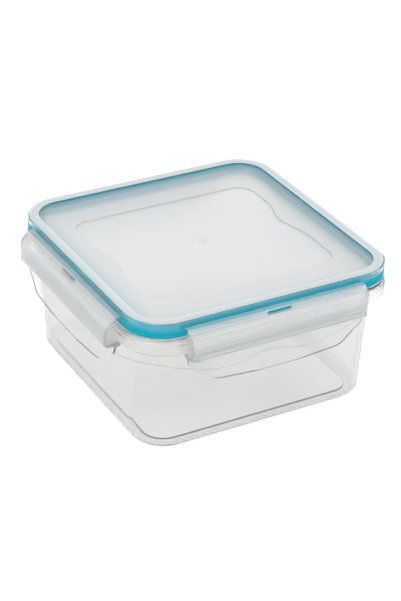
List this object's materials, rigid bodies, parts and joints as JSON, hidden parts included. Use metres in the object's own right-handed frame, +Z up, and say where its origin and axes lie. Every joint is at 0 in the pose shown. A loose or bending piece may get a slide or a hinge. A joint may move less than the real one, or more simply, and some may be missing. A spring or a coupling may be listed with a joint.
{
  "type": "food storage container",
  "caption": "Square clear food box with a frosted lid, a teal sealing ring and hinged side latches that lock under the rim.",
  "frame": {"origin": "centre of the footprint at the height of the surface the box stands on", "axes": "+Z up out of the lid, +X to the right and -Y to the front as the picture shows the near latch"},
  "size_m": [0.1674, 0.1674, 0.0797],
  "materials": {
    "clear_plastic": "clear, polished",
    "frosted_plastic": "translucent, satin",
    "teal_rubber": "smooth, soft"
  },
  "bodies": {
    "tub": {"tub": "clear_plastic"},
    "lid": {"lid": "frosted_plastic", "gasket": "teal_rubber"},
    "front_web": {"front_hinge_web": "frosted_plastic"},
    "front_flap": {"front_latch": "frosted_plastic"},
    "right_web": {"right_hinge_web": "frosted_plastic"},
    "right_flap": {"right_latch": "frosted_plastic"},
    "back_web": {"back_hinge_web": "frosted_plastic"},
    "back_flap": {"back_latch": "frosted_plastic"},
    "left_web": {"left_hinge_web": "frosted_plastic"},
    "left_flap": {"left_latch": "frosted_plastic"}
  },
  "joints": [
    {"name": "lid_lift", "type": "slide", "parent": "tub", "child": "lid", "axis": [0, 0, 1], "range_m": [0, 0.021]},
    {"name": "front_web_fold", "type": "hinge", "parent": "lid", "child": "front_web", "pos_m": [0, -0.0757, 0.0757], "axis": [-1, 0, 0], "range_deg": [0, 62.6]},
    {"name": "front_latch_open", "type": "hinge", "parent": "front_web", "child": "front_flap", "pos_m": [0, -0.0775, 0.0754], "axis": [-1, 0, 0], "range_deg": [0, 90]},
    {"name": "right_web_fold", "type": "hinge", "parent": "lid", "child": "right_web", "pos_m": [0.0757, 0, 0.0757], "axis": [0, -1, 0], "range_deg": [0, 62.6]},
    {"name": "right_latch_open", "type": "hinge", "parent": "right_web", "child": "right_flap", "pos_m": [0.0775, 0, 0.0754], "axis": [0, -1, 0], "range_deg": [0, 90]},
    {"name": "back_web_fold", "type": "hinge", "parent": "lid", "child": "back_web", "pos_m": [0, 0.0757, 0.0757], "axis": [1, 0, 0], "range_deg": [0, 62.6]},
    {"name": "back_latch_open", "type": "hinge", "parent": "back_web", "child": "back_flap", "pos_m": [0, 0.0775, 0.0754], "axis": [1, 0, 0], "range_deg": [0, 90]},
    {"name": "left_web_fold", "type": "hinge", "parent": "lid", "child": "left_web", "pos_m": [-0.0757, 0, 0.0757], "axis": [0, 1, 0], "range_deg": [0, 62.6]},
    {"name": "left_latch_open", "type": "hinge", "parent": "left_web", "child": "left_flap", "pos_m": [-0.0775, 0, 0.0754], "axis": [0, 1, 0], "range_deg": [0, 90]}
  ],
  "couplings": [
    {"joint": "front_web_fold", "follows": "lid_lift", "rad_per_m": 52},
    {"joint": "right_web_fold", "follows": "lid_lift", "rad_per_m": 52},
    {"joint": "back_web_fold", "follows": "lid_lift", "rad_per_m": 52},
    {"joint": "left_web_fold", "follows": "lid_lift", "rad_per_m": 52}
  ]
}
